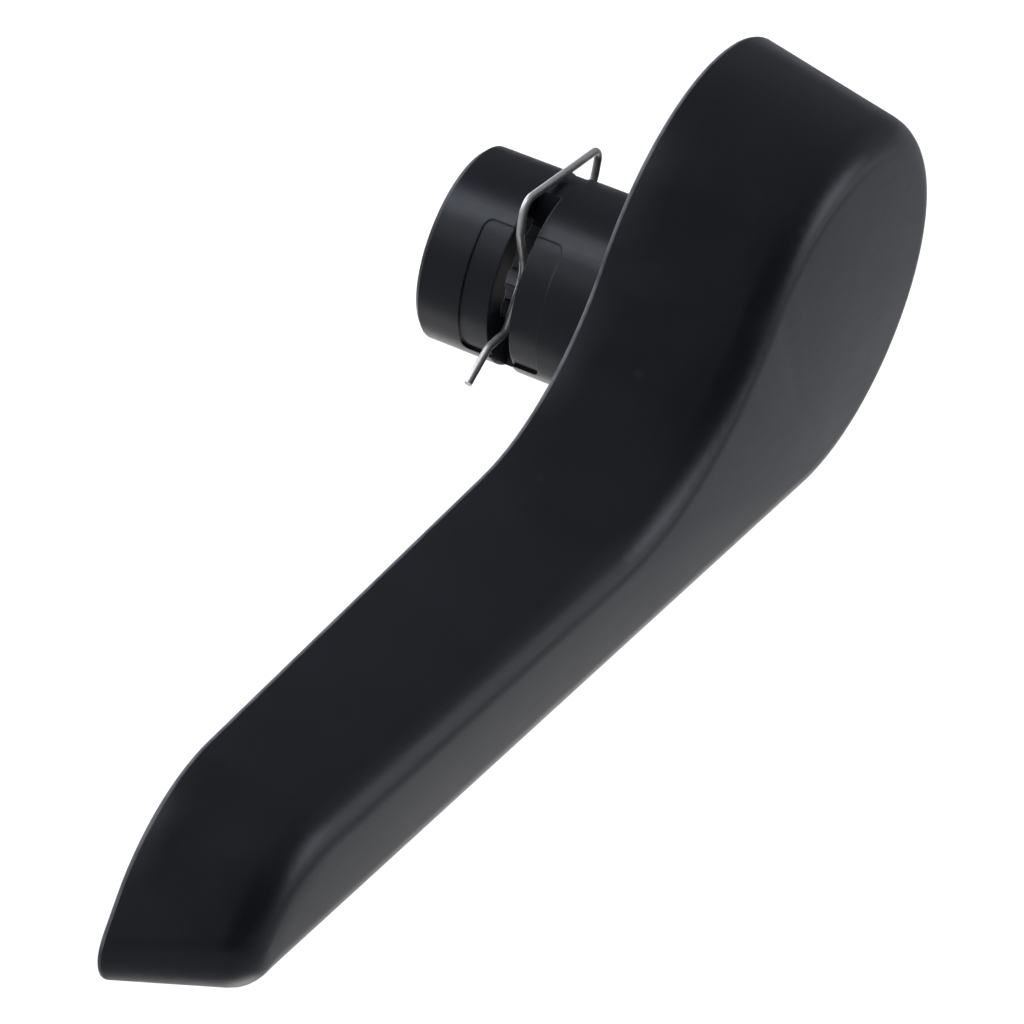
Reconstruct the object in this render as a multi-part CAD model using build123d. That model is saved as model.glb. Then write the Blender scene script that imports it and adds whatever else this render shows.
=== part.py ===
from build123d import *
from math import atan2, cos, degrees, radians, sin, sqrt, tan
import os

# Seat recliner lever: a one-piece moulded lever with a hollow back, whose splined boss takes the recliner
# shaft, and the sprung wire clip that crosses the boss and snaps into the shaft's groove.
# Millimetres. The origin is the centre of the boss's mouth. +Y leaves the socket towards the seat,
# +Z is up and the arm runs towards -X. Its long lower edge lies along X.

# Outline of the lever at its back rim
head_radius = 28.9
head_offset_x = 8.0          # centre of the round head, from the shaft's axis
head_offset_z = 3.5
blend_radius = 27.7          # hollow curve from the head into the arm's upper edge
arm_reach = 103.9            # from the shaft's axis to the start of the nose
arm_height = 22.0            # at the start of the nose
arm_widening = 1.8           # degrees between the arm's two long edges
shoulder_radius = 19.1       # the bend where the upper edge turns down into the nose
shoulder_turn = 60.6         # degrees
tip_radius = 5.6
tip_share = 0.43             # the tip's rounding takes no more than this share of the nose's straight run

# Moulded walls
rim_setback = 25.4           # from the boss's mouth to the plane of the back rim
face_depth = 21.3            # from the rim to the outer face, on the shaft's axis
face_slope = 3.0             # degrees by which the lever thins towards its tip
side_draft = 11.2            # degrees by which the side walls lean in towards the outer face
wall = 2.4
face_edge_radius = 4.8

# Ribs inside the hollow back
rib_thickness = 1.6
rib_drop = 2.0               # the ribs stop short of the rim by this much
head_rib_count = 12
lattice_start = 34.0         # the arm's zigzag starts this far from the shaft's axis
lattice_pitch = 13.0

# Boss and its splined socket
boss_radius = 12.5
boss_edge = 0.6
socket_depth = 38.0
lead_in_radius = 8.9
lead_in_length = 3.0
spline_root_radius = 8.6
spline_tip_radius = 7.9
spline_count = 12
spline_width = 2.0

# Slots across the boss, with a shallow hollow round each
clip_setback = 11.4          # from the boss's mouth to the middle of the slots
clip_turn = 3.7              # degrees by which the clip leans over towards +X
slot_width = 3.0
slot_web = 3.4               # half the width of the webs left above and below the bore
recess_width = 10.5
recess_depth = 0.7
recess_half_height = 8.8
recess_corner = 1.0

# Sprung wire clip: half widths and heights of its corners, from the shaft's axis
wire_diameter = 1.0
clip_lean = 1.2              # degrees by which its bridge leans towards the boss's mouth
bridge_seat_gap = 0.3        # between the bridge and the top of the boss
bridge_half_width = 10.3
knee_half_width = 10.2
knee_height = 9.1
waist_half_width = 6.8       # the legs close here on the groove in the shaft
waist_height = 2.6
elbow_half_width = 9.3
elbow_drop = 4.5
flare_half_width = 13.9
flare_drop = 4.9
tail_half_width = 18.2
tail_drop = 8.1
bridge_bend = 1.8
leg_bend = 4.0
elbow_bend = 1.6

wire_radius = wire_diameter / 2
rim_y = -rim_setback
lower_edge_z = head_offset_z - head_radius
nose_lean = radians(arm_widening + shoulder_turn)
nose_drop = arm_height - shoulder_radius * (cos(radians(arm_widening)) - cos(nose_lean))
nose_run = nose_drop / sin(nose_lean)
past_face = face_depth + wall + (head_offset_x + head_radius) * tan(radians(face_slope))
past_head = 2 * (head_radius + abs(head_offset_x) + abs(head_offset_z))

# Sketches are seen from the seat's far side, with X and Z as drawn, and extrude towards the outer face
mouth_plane = Plane(origin=(0, 0, 0), x_dir=(1, 0, 0), z_dir=(0, -1, 0))
rim_plane = mouth_plane.offset(rim_setback)
face_plane = Plane(
    origin=(0, rim_y - face_depth, 0),
    z_dir=(-sin(radians(face_slope)), -cos(radians(face_slope)), 0),
)
clip_plane = Plane(
    origin=(0, -clip_setback, 0),
    x_dir=(cos(radians(clip_turn)), 0, -sin(radians(clip_turn))),
    z_dir=(0, -1, 0),
)
wire_plane = clip_plane.rotated((-clip_lean, 0, 0))


def heading(angle):
    """A unit step at an angle in degrees."""
    return Vector(cos(radians(angle)), sin(radians(angle)))


def lever_outline():
    """The outline at the back rim, anticlockwise from the foot of the head."""
    edge_angle = 180 + arm_widening
    along = heading(edge_angle)
    outward = heading(edge_angle - 90)
    shoulder_start = Vector(-arm_reach, lower_edge_z + arm_height)
    head_centre = Vector(head_offset_x, head_offset_z)

    # The blend touches the head from outside and the upper edge from above
    rise = (head_centre - shoulder_start).dot(outward)
    distance = (head_centre - shoulder_start).dot(along)
    span = sqrt((head_radius + blend_radius) ** 2 - (blend_radius - rise) ** 2)
    blend_centre = shoulder_start + along * (distance + span) + outward * blend_radius
    to_blend = blend_centre - head_centre
    head_end = degrees(atan2(to_blend.Y, to_blend.X))

    # The nose runs straight from the shoulder down to the lower edge
    nose_angle = edge_angle + shoulder_turn
    nose_start = shoulder_start + (heading(nose_angle - 90) - outward) * shoulder_radius
    tip = nose_start + heading(nose_angle) * nose_run

    with BuildLine() as path:
        head = JernArc((head_offset_x, lower_edge_z), (1, 0), head_radius, head_end + 90)
        blend = JernArc(head @ 1, head % 1, blend_radius, edge_angle - 90 - head_end)
        upper = Line(blend @ 1, shoulder_start)
        shoulder = JernArc(upper @ 1, upper % 1, shoulder_radius, shoulder_turn)
        Line(shoulder @ 1, tip)
        Line(tip, head @ 0)
    return make_face(path.line)


def outer_form():
    """The lever's outside: it leans in from the rim to an inclined outer face with rounded edges."""
    block = rim_plane * extrude(lever_outline(), amount=past_face, taper=side_draft)
    corners = block.edges().group_by(Axis.Y)[1]
    block = fillet(corners.sort_by(Axis.X)[0], min(tip_radius, tip_share * nose_run))
    block = split(block, bisect_by=face_plane, keep=Keep.BOTTOM)
    return fillet(block.faces().sort_by(Axis.Y)[0].edges(), face_edge_radius)


def hollow_walls(form):
    """Walls of one thickness under the outer form, open at the rim."""
    rim_face = form.faces().sort_by(Axis.Y)[-1]
    return offset(form, amount=-wall, openings=rim_face)


def rib_blank(start, end):
    """A rib along a line in X and Z, from below the rim to past the outer face."""
    run = end - start
    middle = (start + end) / 2
    turn = degrees(atan2(run.Y, run.X))
    section = Pos(middle.X, middle.Y) * Rot(0, 0, turn) * Rectangle(run.length, rib_thickness)
    return extrude(rim_plane.offset(rib_drop) * section, amount=past_face)


def head_ribs():
    """Ribs from the boss to the walls, which carry the turning force."""
    ribs = []
    for number in range(head_rib_count):
        way = heading(number * 360 / head_rib_count)
        ribs.append(rib_blank(way * (boss_radius - rib_thickness), way * past_head))
    return ribs


def arm_ribs():
    """A zigzag between the arm's two long walls."""
    upper_z = lower_edge_z + arm_height + arm_reach * tan(radians(arm_widening))
    ends = (upper_z, lower_edge_z)
    ribs = []
    for number in range(int((arm_reach - lattice_start) / lattice_pitch) + 1):
        start_x = -lattice_start - number * lattice_pitch
        start = Vector(start_x, ends[number % 2])
        end = Vector(start_x - lattice_pitch, ends[(number + 1) % 2])
        ribs.append(rib_blank(start, end))
    return ribs


def boss_blank():
    """The round boss, from the outer wall to its mouth."""
    boss = extrude(mouth_plane * Circle(boss_radius), amount=rim_setback + past_face)
    boss = chamfer(boss.faces().sort_by(Axis.Y)[-1].edges(), boss_edge)
    return split(boss, bisect_by=face_plane.offset(-wall / 2), keep=Keep.BOTTOM)


def splined_socket():
    """The socket's hollow: a blind splined hole with a plain lead-in at its mouth."""
    spline_depth = spline_root_radius - spline_tip_radius
    spline = Pos(spline_tip_radius + spline_depth, 0) * Rectangle(2 * spline_depth, spline_width)
    section = Circle(spline_root_radius)
    for number in range(spline_count):
        section -= Rot(0, 0, number * 360 / spline_count) * spline
    hollow = extrude(mouth_plane * section, amount=socket_depth)
    lead_in = extrude(mouth_plane * Circle(lead_in_radius), amount=lead_in_length)
    return hollow + lead_in


def clip_slots():
    """Slots that open both sides of the boss and its bore for the clip's legs."""
    slots = []
    for side in (-1, 1):
        section = Pos(side * (slot_web + boss_radius), 0) * Rectangle(2 * boss_radius, 4 * boss_radius)
        slots.append(extrude(clip_plane * section, amount=slot_width / 2, both=True))
    return slots


def clip_recesses():
    """Shallow hollows round the slots, with round corners, open towards each side."""
    floor = extrude(mouth_plane * Circle(boss_radius - recess_depth), amount=rim_setback)
    recesses = []
    for side in (-1, 1):
        side_plane = Plane(
            origin=clip_plane.origin,
            x_dir=clip_plane.z_dir,
            z_dir=clip_plane.x_dir * side,
        )
        section = RectangleRounded(recess_width, 2 * recess_half_height, recess_corner)
        recesses.append(extrude(side_plane * section, amount=2 * boss_radius) - floor)
    return recesses


def lever_body():
    """The whole moulding."""
    form = outer_form()
    core = form - hollow_walls(form)
    ribs = [core & rib for rib in head_ribs() + arm_ribs()]
    body = form - core
    body += ribs
    body += boss_blank()
    body -= splined_socket()
    body -= clip_recesses()
    body -= clip_slots()
    return body


def retaining_clip():
    """A bridge over the boss, two legs that close on the shaft, and tails that flare out."""
    bridge_height = boss_radius + bridge_seat_gap + wire_radius
    right = [
        Vector(bridge_half_width, bridge_height),
        Vector(knee_half_width, knee_height),
        Vector(waist_half_width, waist_height),
        Vector(elbow_half_width, -elbow_drop),
        Vector(flare_half_width, -flare_drop),
        Vector(tail_half_width, -tail_drop),
    ]
    left = [Vector(-corner.X, corner.Y) for corner in right]
    corners = left[::-1] + right
    bends = [bridge_bend, leg_bend, leg_bend, elbow_bend, elbow_bend]
    path = wire_plane * FilletPolyline(*corners, radius=bends[::-1] + bends)
    section = Plane(origin=path @ 0, z_dir=path % 0) * Circle(wire_radius)
    return sweep(section, path=path)


os.makedirs("parts", exist_ok=True)
export_step(lever_body(), "parts/lever_body.step")
export_step(retaining_clip(), "parts/retaining_clip.step")
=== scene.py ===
import math

import bmesh
import bpy
from mathutils import Matrix, Vector


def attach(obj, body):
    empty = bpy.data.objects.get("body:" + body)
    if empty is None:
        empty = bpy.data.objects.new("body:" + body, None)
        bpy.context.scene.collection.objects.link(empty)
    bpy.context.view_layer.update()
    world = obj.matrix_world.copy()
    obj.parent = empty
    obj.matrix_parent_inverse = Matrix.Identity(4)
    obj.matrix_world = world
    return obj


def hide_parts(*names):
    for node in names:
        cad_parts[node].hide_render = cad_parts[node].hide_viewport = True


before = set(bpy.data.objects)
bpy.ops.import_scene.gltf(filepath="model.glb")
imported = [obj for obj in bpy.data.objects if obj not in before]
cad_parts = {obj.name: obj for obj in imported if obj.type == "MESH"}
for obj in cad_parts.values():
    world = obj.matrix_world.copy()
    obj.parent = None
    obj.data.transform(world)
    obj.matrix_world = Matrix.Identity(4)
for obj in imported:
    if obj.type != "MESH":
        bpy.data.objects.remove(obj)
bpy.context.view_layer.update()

MM = 0.001
scene = bpy.context.scene

# The photograph's viewpoint: angles in degrees, distances in millimetres, focal length in pixels
VIEW_AZIMUTH = -67.949
VIEW_ELEVATION = 32.59
VIEW_ROLL = 9.726
VIEW_DISTANCE = 541.648
VIEW_SHIFT_RIGHT = 136.589
VIEW_SHIFT_DOWN = -199.801
VIEW_FOCAL = 4500.0
VIEW_WIDTH = 1024
AIM_SETBACK = 25.43          # the aimed point lies this far behind the boss's mouth
SENSOR_WIDTH = 36.0
CLIP_NEAR = 0.01             # metres
CLIP_FAR = 20

# Metres from here on
JOIN_DISTANCE = 1e-7         # the CAD mesh's doubled points are closer than this
SHARP_EDGE = 28              # degrees between faces
FACES_BACK = 0.9999          # the flat faces that look straight back have a normal with at least this much Y

# The rounded outer edge of the back rim, worn in chips and painted lighter as a highlight
RIM_Y = -0.0254              # the plane of the back rim
RIM_ROUND = 0.00055
RIM_STEPS = (0, 22.5, 45, 67.5)     # degrees round the edge, from the outer wall
RIM_MERGE = 0.00006          # points of the rounding closer than this are joined
CUT_TOLERANCE = 1e-8
LEAST_LEAN = -0.05           # Y of the outer walls' normals lies between these two
MOST_LEAN = -0.5
# The face attribute marks the rim for its pale colour, which is partly wear and partly a painted highlight
WORN_AND_HIGHLIT_EDGE = "worn_and_highlit_edge"      # face attribute, 1 on the rounded rim

# The shallow hollows round the boss's slots, whose floor is deeper at the lower ends
BOSS_RADIUS = 0.0125
HOLLOW_RADIUS = 0.0118
HOLLOW_TOLERANCE = 1e-5
HOLLOW_HALF_HEIGHT = 0.0088
HOLLOW_UPPER_DEPTH = 0.0001
HOLLOW_LOWER_DEPTH = 0.00035
HOLLOW_TURN = 3.7            # degrees, as the clip's slots

# Black moulded plastic
PLASTIC_COLOUR = (0.0112, 0.0125, 0.0155)
PLASTIC_CLOUD = 1.25         # how much lighter its cloudy patches are
PLASTIC_ROUGHNESS = 0.31
PLASTIC_IOR = 1.45
DUST_COLOUR = (0.030, 0.030, 0.032)
# The rim's pale colour, partly wear in chips and partly a painted highlight for the lit rounded edge
WORN_AND_HIGHLIT_COLOUR = (0.20, 0.20, 0.205)
SOFT_EDGE = 0.0003           # how far the moulding's edges look rounded

# Bright drawn wire
WIRE_COLOUR = (0.95, 0.92, 0.87)
WIRE_DULL_COLOUR = (0.80, 0.77, 0.72)
WIRE_ROUGHNESS = 0.34
WIRE_METAL = 0.7             # the rest is a pale matt film

# The pale floor lies far below the lever, so that its shadow falls outside the picture
FLOOR_DROP = 0.30
FLOOR_SIZE = 20.0
FLOOR_COLOUR = (0.62, 0.61, 0.6)
FLOOR_ROUGHNESS = 0.9

# The room's light: a dim base, then soft lobes in degrees: azimuth from +X towards +Y, elevation, inner and
# outer half angle, and a strength
ROOM_LIGHT = 0.04
WORLD_LIGHTS = (
    (-62, 7, 5, 21, 2.1),        # window light along the rounded face edge
    (-68, 26, 3, 13, 0.5),       # above it
    (-50, 12, 10, 45, 0.12),     # glow round it
    (121, 58, 4, 19, 3.5),       # soft box on the boss's upper left
    (145, 42, 5, 26, 0.5),       # beside it and lower
    (158, 20, 10, 42, 0.3),      # lower still, and wide
    (108, 30, 15, 55, 0.35),     # wide light behind the lever
    (-25, 50, 20, 75, 0.19),     # front of the room
    (72, 3, 20, 45, 2.4),        # behind the back rim
)

# Lights just over the floor that shine down on it: centre, height over the floor, size, power and spread
FLOOR_LIGHTS = (
    ((0.45, 0.175), 0.12, (0.74, 0.47), 1.65, 150),     # the floor that the picture shows
    ((0.20, -0.30), 0.25, (0.5, 0.4), 0.14, 180),       # in front of the head
    ((-0.11, 0.13), 0.06, (0.12, 0.12), 0.055, 110),    # behind the arm
    ((-0.03, -0.09), 0.06, (0.15, 0.13), 0.2, 110),     # just in front of the boss
    ((1.10, -1.65), 0.40, (1.2, 1.0), 9.0, 110),        # far out in front
)
FLOOR_LIGHT_TURN = 27        # degrees

# Cool daylight in the room, neutral light off the floor
WORLD_TINT = (0.84, 0.89, 1.0)
FLOOR_TINT = (1.0, 0.98, 0.95)


def colour(rgb):
    """A colour socket's value."""
    return (*rgb, 1)


def direction(azimuth, elevation):
    """A unit step towards an azimuth and elevation in degrees."""
    level = math.cos(math.radians(elevation))
    return (
        math.cos(math.radians(azimuth)) * level,
        math.sin(math.radians(azimuth)) * level,
        math.sin(math.radians(elevation)),
    )


def is_outer_wall(face):
    """The outer walls lean in towards the outer face, so they look away from the back rim a little."""
    return MOST_LEAN < face.normal.y < LEAST_LEAN and face.calc_center_median().y < RIM_Y


def cut_outer_walls(build, depth):
    """Cut the outer walls round at a depth below the rim."""
    walls = [face for face in build.faces if is_outer_wall(face)]
    edges = {edge for face in walls for edge in face.edges}
    verts = {vert for face in walls for vert in face.verts}
    bmesh.ops.bisect_plane(
        build, geom=[*verts, *edges, *walls], dist=CUT_TOLERANCE,
        plane_co=(0, RIM_Y - depth, 0), plane_no=(0, 1, 0))
    build.normal_update()


def rim_moves(build):
    """The points near the rim's outer edge, each with its way in along an arc."""
    moves = []
    for vert in build.verts:
        left = RIM_ROUND - (RIM_Y - vert.co.y)
        walls = [face.normal for face in vert.link_faces if is_outer_wall(face)]
        if walls and left > CUT_TOLERANCE:
            inward = -sum(walls, Vector())
            inward.y = 0
            inset = RIM_ROUND - math.sqrt(max(RIM_ROUND ** 2 - left ** 2, 0))
            moves.append((vert, inward.normalized() * inset))
    return moves


def round_rim(build):
    """Round the rim's outer edge and mark it for the pale rim colour, which is partly wear and partly a
    painted highlight.
    """
    worn_and_highlit_faces = build.faces.layers.float.new(WORN_AND_HIGHLIT_EDGE)
    for step in RIM_STEPS:
        cut_outer_walls(build, RIM_ROUND * (1 - math.sin(math.radians(step))))
    moves = rim_moves(build)
    for face in build.faces:
        # These rim faces get the pale rim colour, which is partly wear and partly a painted highlight
        if is_outer_wall(face) and face.calc_center_median().y > RIM_Y - RIM_ROUND:
            face[worn_and_highlit_faces] = 1
    for vert, move in moves:
        vert.co += move
    bmesh.ops.remove_doubles(build, verts=[vert for vert, _ in moves], dist=RIM_MERGE)
    build.normal_update()


def ease_hollows(build):
    """Raise the floor of the boss's hollows, sideways as they were cut and more towards their upper ends."""
    sideways = Vector((math.cos(math.radians(HOLLOW_TURN)), 0, -math.sin(math.radians(HOLLOW_TURN))))
    upright = Vector((-sideways.z, 0, sideways.x))
    for vert in build.verts:
        off_floor = abs(math.hypot(vert.co.x, vert.co.z) - HOLLOW_RADIUS)
        if vert.co.y > RIM_Y and off_floor < HOLLOW_TOLERANCE:
            height = vert.co.dot(upright)
            reach = vert.co.dot(sideways)
            share = (height + HOLLOW_HALF_HEIGHT) / (2 * HOLLOW_HALF_HEIGHT)
            share = min(max(share, 0), 1)
            depth = HOLLOW_LOWER_DEPTH + (HOLLOW_UPPER_DEPTH - HOLLOW_LOWER_DEPTH) * share
            raised = math.sqrt((BOSS_RADIUS - depth) ** 2 - height ** 2)
            vert.co += sideways * (math.copysign(raised, reach) - reach)


def shade_smooth(build):
    """Smooth shading, with sharp edges where faces meet at an angle or at a flat face that looks back."""
    for face in build.faces:
        face.smooth = True
    for edge in build.edges:
        if len(edge.link_faces) == 2:
            flat = [face.normal.y > FACES_BACK for face in edge.link_faces]
            edge.smooth = edge.calc_face_angle() < math.radians(SHARP_EDGE) and flat[0] == flat[1]


def smooth_copy(node, name, details=()):
    """A merged copy of a CAD node with its details worked in, shaded smooth."""
    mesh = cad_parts[node].data.copy()
    mesh.name = name
    build = bmesh.new()
    build.from_mesh(mesh)
    bmesh.ops.remove_doubles(build, verts=build.verts, dist=JOIN_DISTANCE)
    bmesh.ops.recalc_face_normals(build, faces=build.faces)
    for detail in details:
        detail(build)
    shade_smooth(build)
    build.to_mesh(mesh)
    build.free()
    mesh.materials.clear()
    piece = bpy.data.objects.new(name, mesh)
    scene.collection.objects.link(piece)
    return piece


def node_material(name):
    """A node material and its shader."""
    material = bpy.data.materials.new(name)
    material.use_nodes = True
    return material, material.node_tree.nodes["Principled BSDF"]


def open_group(name, numbers, vectors, result):
    """An empty node group with number and vector inputs and one number for its result."""
    group = bpy.data.node_groups.new(name, "ShaderNodeTree")
    for socket in vectors:
        group.interface.new_socket(socket, in_out="INPUT", socket_type="NodeSocketVector")
    for socket in numbers:
        group.interface.new_socket(socket, in_out="INPUT", socket_type="NodeSocketFloat")
    group.interface.new_socket(result, in_out="OUTPUT", socket_type="NodeSocketFloat")
    return group, group.nodes.new("NodeGroupInput").outputs, group.nodes.new("NodeGroupOutput").inputs[result]


def math_value(tree, operation, first, second):
    """A sum, product or the like of two values, each a plain number or a node's output."""
    node = tree.nodes.new("ShaderNodeMath")
    node.operation = operation
    for socket, given in zip(node.inputs, (first, second)):
        if isinstance(given, (int, float)):
            socket.default_value = given
        else:
            tree.links.new(given, socket)
    return node.outputs["Value"]


def surface_noise_group():
    """Even noise over a surface: a value from Low to High that changes every Spot millimetres."""
    group, given, result = open_group(
        "surface noise", ("Spot", "Detail", "Low", "High"), ("Stretch",), "Value")
    add, link = group.nodes.new, group.links.new
    place = add("ShaderNodeTexCoord")
    stretched = add("ShaderNodeVectorMath")
    stretched.operation = "MULTIPLY"
    noise = add("ShaderNodeTexNoise")
    spread = add("ShaderNodeMapRange")
    spread.inputs["From Min"].default_value = 0.3
    spread.inputs["From Max"].default_value = 0.7
    link(place.outputs["Object"], stretched.inputs[0])
    link(given["Stretch"], stretched.inputs[1])
    link(stretched.outputs["Vector"], noise.inputs["Vector"])
    link(math_value(group, "DIVIDE", 1 / MM, given["Spot"]), noise.inputs["Scale"])
    link(given["Detail"], noise.inputs["Detail"])
    link(noise.outputs["Fac"], spread.inputs["Value"])
    link(given["Low"], spread.inputs["To Min"])
    link(given["High"], spread.inputs["To Max"])
    link(spread.outputs["Result"], result)
    return group


def dust_group():
    """A mask of few small specks: one in each cell of Spacing millimetres whose random number is low."""
    group, given, result = open_group("dust specks", ("Spacing", "Size", "Share"), (), "Mask")
    add, link = group.nodes.new, group.links.new
    place = add("ShaderNodeTexCoord")
    cells = add("ShaderNodeTexVoronoi")
    channels = add("ShaderNodeSeparateColor")
    fade = add("ShaderNodeMapRange")
    fade.inputs["To Min"].default_value = 1
    fade.inputs["To Max"].default_value = 0
    link(place.outputs["Object"], cells.inputs["Vector"])
    link(math_value(group, "DIVIDE", 1 / MM, given["Spacing"]), cells.inputs["Scale"])
    link(cells.outputs["Color"], channels.inputs["Color"])
    link(cells.outputs["Distance"], fade.inputs["Value"])
    link(math_value(group, "DIVIDE", given["Size"], given["Spacing"]), fade.inputs["From Max"])
    chosen = math_value(group, "LESS_THAN", channels.outputs["Red"], given["Share"])
    link(math_value(group, "MULTIPLY", fade.outputs["Result"], chosen), result)
    return group


def soft_lobe_group():
    """World light from one direction: full inside the inner cosine, nothing outside the outer one."""
    group, given, result = open_group(
        "soft lobe", ("Inner Cosine", "Outer Cosine", "Strength"), ("Direction",), "Value")
    add, link = group.nodes.new, group.links.new
    sky = add("ShaderNodeTexCoord")
    toward = add("ShaderNodeVectorMath")
    toward.operation = "DOT_PRODUCT"
    fade = add("ShaderNodeMapRange")
    fade.interpolation_type = "SMOOTHERSTEP"
    link(sky.outputs["Generated"], toward.inputs[0])
    link(given["Direction"], toward.inputs[1])
    link(toward.outputs["Value"], fade.inputs["Value"])
    link(given["Outer Cosine"], fade.inputs["From Min"])
    link(given["Inner Cosine"], fade.inputs["From Max"])
    link(math_value(group, "MULTIPLY", fade.outputs["Result"], given["Strength"]), result)
    return group


def used_group(tree, group, result, values):
    """A use of a node group with its inputs set; returns its result."""
    node = tree.nodes.new("ShaderNodeGroup")
    node.node_tree = group
    for socket, value in values.items():
        node.inputs[socket].default_value = value
    return node.outputs[result]


def noise_value(tree, group, spot, detail, low=0, high=1, stretch=(1, 1, 1)):
    """A value from the surface noise group."""
    values = {"Spot": spot, "Detail": detail, "Low": low, "High": high, "Stretch": stretch}
    return used_group(tree, group, "Value", values)


def mixed_colour(tree, share, below, above):
    """A mix of two colours, each a plain colour or a node's output."""
    mix = tree.nodes.new("ShaderNodeMix")
    mix.data_type = "RGBA"
    tree.links.new(share, mix.inputs["Factor"])
    for name, given in (("A", below), ("B", above)):
        socket = next(s for s in mix.inputs if s.name == name and s.type == "RGBA")
        if isinstance(given, tuple):
            socket.default_value = colour(given)
        else:
            tree.links.new(given, socket)
    return next(s for s in mix.outputs if s.type == "RGBA")


def bump_normal(tree, height, depth, edge=0):
    """A bump of a depth in millimetres from a height between 0 and 1, over edges rounded by a distance."""
    bump = tree.nodes.new("ShaderNodeBump")
    if edge:
        rounded = tree.nodes.new("ShaderNodeBevel")
        rounded.inputs["Radius"].default_value = edge
        tree.links.new(rounded.outputs["Normal"], bump.inputs["Normal"])
    bump.inputs["Strength"].default_value = 1.0
    bump.inputs["Distance"].default_value = depth * MM
    tree.links.new(height, bump.inputs["Height"])
    return bump.outputs["Normal"]


def worn_and_highlit_share(tree, noise):
    """How much of the pale rim colour there is, partly wear and partly a painted highlight: nothing but on
    the rim, and there in small chips.
    """
    rim = tree.nodes.new("ShaderNodeAttribute")
    rim.attribute_name = WORN_AND_HIGHLIT_EDGE
    chips = noise_value(tree, noise, spot=2.5, detail=4, low=0.35)
    return math_value(tree, "MULTIPLY", rim.outputs["Fac"], chips)


def black_plastic(noise, dust):
    """Black satin plastic with a fine moulded grain, faint cloudy wear, a few dust specks, and a rim that is
    worn and painted lighter as a highlight.
    """
    material, shader = node_material("black moulded plastic")
    tree = material.node_tree
    link = tree.links.new
    cloud = noise_value(tree, noise, spot=9, detail=3)
    grain = noise_value(tree, noise, spot=0.35, detail=4)
    rub = noise_value(tree, noise, spot=1.1, detail=5, stretch=(0.12, 1, 1))
    specks = used_group(tree, dust, "Mask", {"Spacing": 8, "Size": 0.8, "Share": 0.2})
    # Share of the pale rim colour, which is partly wear and partly a painted highlight
    wear_and_highlight = worn_and_highlit_share(tree, noise)

    lighter = tuple(PLASTIC_CLOUD * c for c in PLASTIC_COLOUR)
    clouded = mixed_colour(tree, cloud, PLASTIC_COLOUR, lighter)
    dusty = mixed_colour(tree, specks, clouded, DUST_COLOUR)
    # The pale rim colour is partly wear and partly a painted highlight of the lit rounded edge
    link(mixed_colour(tree, wear_and_highlight, dusty, WORN_AND_HIGHLIT_COLOUR), shader.inputs["Base Color"])

    roughness = PLASTIC_ROUGHNESS - 0.03
    for share, added in ((cloud, 0.04), (rub, 0.03), (wear_and_highlight, 0.1)):
        roughness = math_value(tree, "ADD", math_value(tree, "MULTIPLY", share, added), roughness)
    link(roughness, shader.inputs["Roughness"])
    shader.inputs["IOR"].default_value = PLASTIC_IOR
    link(bump_normal(tree, grain, 0.004, SOFT_EDGE), shader.inputs["Normal"])
    return material


def bright_wire(noise):
    """Bright spring wire, a little dull in patches, with fine marks from drawing."""
    material, shader = node_material("bright spring wire")
    tree = material.node_tree
    link = tree.links.new
    patches = noise_value(tree, noise, spot=2.4, detail=3)
    drawn = noise_value(tree, noise, spot=0.12, detail=2)
    link(mixed_colour(tree, patches, WIRE_COLOUR, WIRE_DULL_COLOUR), shader.inputs["Base Color"])

    roughness = WIRE_ROUGHNESS - 0.05
    for share, added in ((patches, 0.14), (drawn, 0.06)):
        roughness = math_value(tree, "ADD", math_value(tree, "MULTIPLY", share, added), roughness)
    link(roughness, shader.inputs["Roughness"])
    shader.inputs["Metallic"].default_value = WIRE_METAL
    link(bump_normal(tree, drawn, 0.003), shader.inputs["Normal"])
    return material


def finished(piece, node, body, material):
    """Give a piece its material, tell the frame what it rides on, and hide the CAD node that it takes the
    place of.
    """
    piece.data.materials.append(material)
    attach(piece, body)
    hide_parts(node)


def photo_camera():
    """The camera of the photograph."""
    azimuth = math.radians(VIEW_AZIMUTH)
    roll = math.radians(VIEW_ROLL)
    back = Vector(direction(VIEW_AZIMUTH - 90, VIEW_ELEVATION))
    level = Vector((math.cos(azimuth), math.sin(azimuth), 0))
    upright = back.cross(level)
    right = math.cos(roll) * level + math.sin(roll) * upright
    up = -math.sin(roll) * level + math.cos(roll) * upright
    scale = VIEW_DISTANCE / VIEW_FOCAL
    place = back * VIEW_DISTANCE - right * VIEW_SHIFT_RIGHT * scale + up * VIEW_SHIFT_DOWN * scale
    place.y -= AIM_SETBACK
    data = bpy.data.cameras.new("photo camera")
    data.sensor_width = SENSOR_WIDTH
    data.lens = VIEW_FOCAL / VIEW_WIDTH * SENSOR_WIDTH
    data.clip_start = CLIP_NEAR
    data.clip_end = CLIP_FAR
    camera = bpy.data.objects.new("photo camera", data)
    turn = Matrix((right, up, back)).transposed()
    camera.matrix_world = Matrix.Translation(place * MM) @ turn.to_4x4()
    scene.collection.objects.link(camera)
    scene.camera = camera


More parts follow.
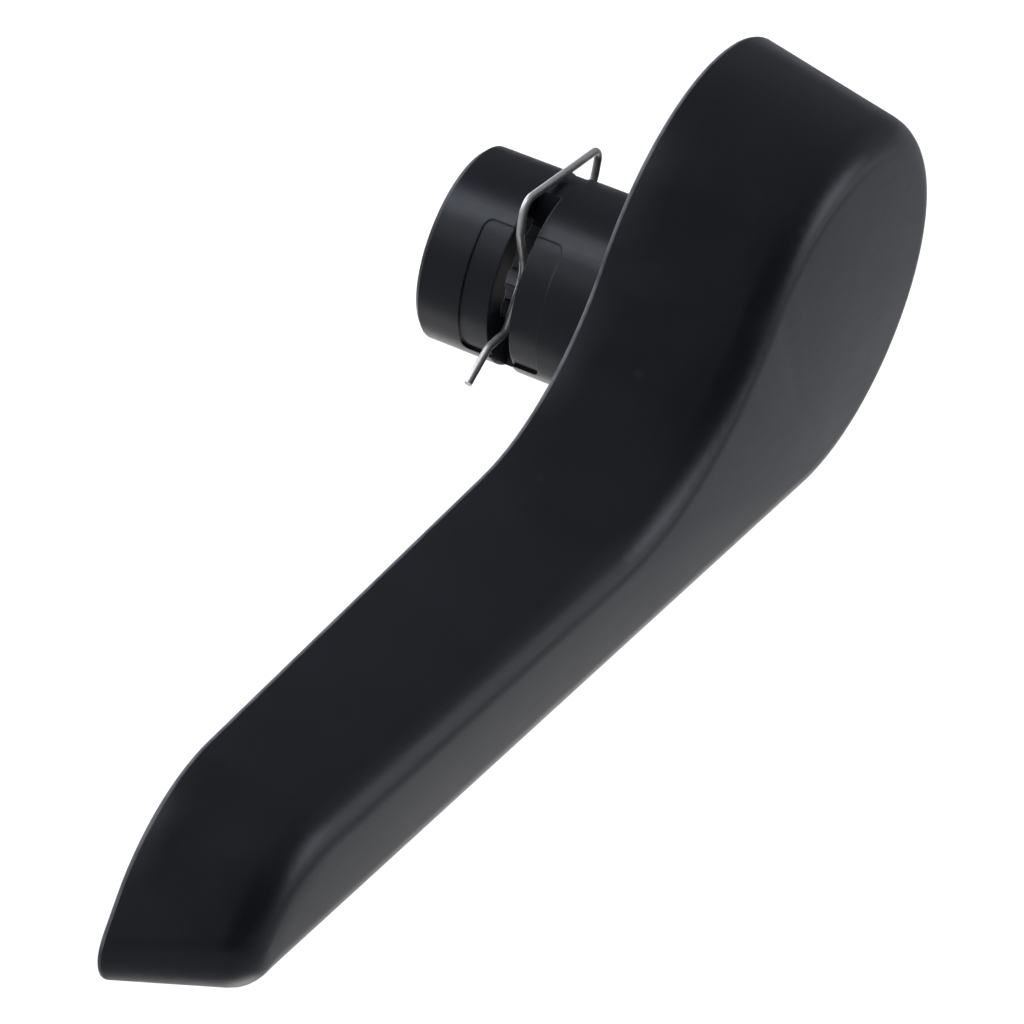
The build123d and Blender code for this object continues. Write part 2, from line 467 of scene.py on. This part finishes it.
def studio_floor():
    """A plain pale floor."""
    half = FLOOR_SIZE / 2
    mesh = bpy.data.meshes.new("floor")
    corners = ((-half, -half), (half, -half), (half, half), (-half, half))
    mesh.from_pydata([(*corner, -FLOOR_DROP) for corner in corners], [], [(0, 1, 2, 3)])
    floor = bpy.data.objects.new("floor", mesh)
    material, shader = node_material("pale floor")
    shader.inputs["Base Color"].default_value = colour(FLOOR_COLOUR)
    shader.inputs["Roughness"].default_value = FLOOR_ROUGHNESS
    shader.inputs["Specular IOR Level"].default_value = 0.0
    mesh.materials.append(material)
    scene.collection.objects.link(floor)


def floor_light(centre, height, size, power, spread):
    """A rectangular light over the floor that shines straight down and isn't seen itself."""
    data = bpy.data.lights.new("floor light", "AREA")
    data.shape = "RECTANGLE"
    data.size, data.size_y = size
    data.energy = power
    data.color = FLOOR_TINT
    data.spread = math.radians(spread)
    light = bpy.data.objects.new("floor light", data)
    light.location = (*centre, height - FLOOR_DROP)
    light.rotation_euler.z = math.radians(FLOOR_LIGHT_TURN)
    light.visible_camera = False
    scene.collection.objects.link(light)


def studio_light():
    """A dim room with a few large soft lights, given by direction."""
    world = bpy.data.worlds.new("studio")
    world.use_nodes = True
    tree = world.node_tree
    background = tree.nodes["Background"]
    background.inputs["Color"].default_value = colour(WORLD_TINT)
    group = soft_lobe_group()
    total = ROOM_LIGHT
    for azimuth, elevation, inner, outer, strength in WORLD_LIGHTS:
        lobe = used_group(tree, group, "Value", {
            "Direction": direction(azimuth, elevation),
            "Inner Cosine": math.cos(math.radians(inner)),
            "Outer Cosine": math.cos(math.radians(outer)),
            "Strength": strength,
        })
        total = math_value(tree, "ADD", lobe, total)
    tree.links.new(total, background.inputs["Strength"])
    scene.world = world


studio_floor()
studio_light()
for floor_spot in FLOOR_LIGHTS:
    floor_light(*floor_spot)
photo_camera()
scene.view_settings.view_transform = "Standard"

surface_noise = surface_noise_group()
plastic = black_plastic(surface_noise, dust_group())
moulding = smooth_copy("lever_body", "lever_moulding", (ease_hollows, round_rim))
finished(moulding, "lever_body", "lever", plastic)
wire = smooth_copy("retaining_clip", "clip_wire")
finished(wire, "retaining_clip", "clip", bright_wire(surface_noise))
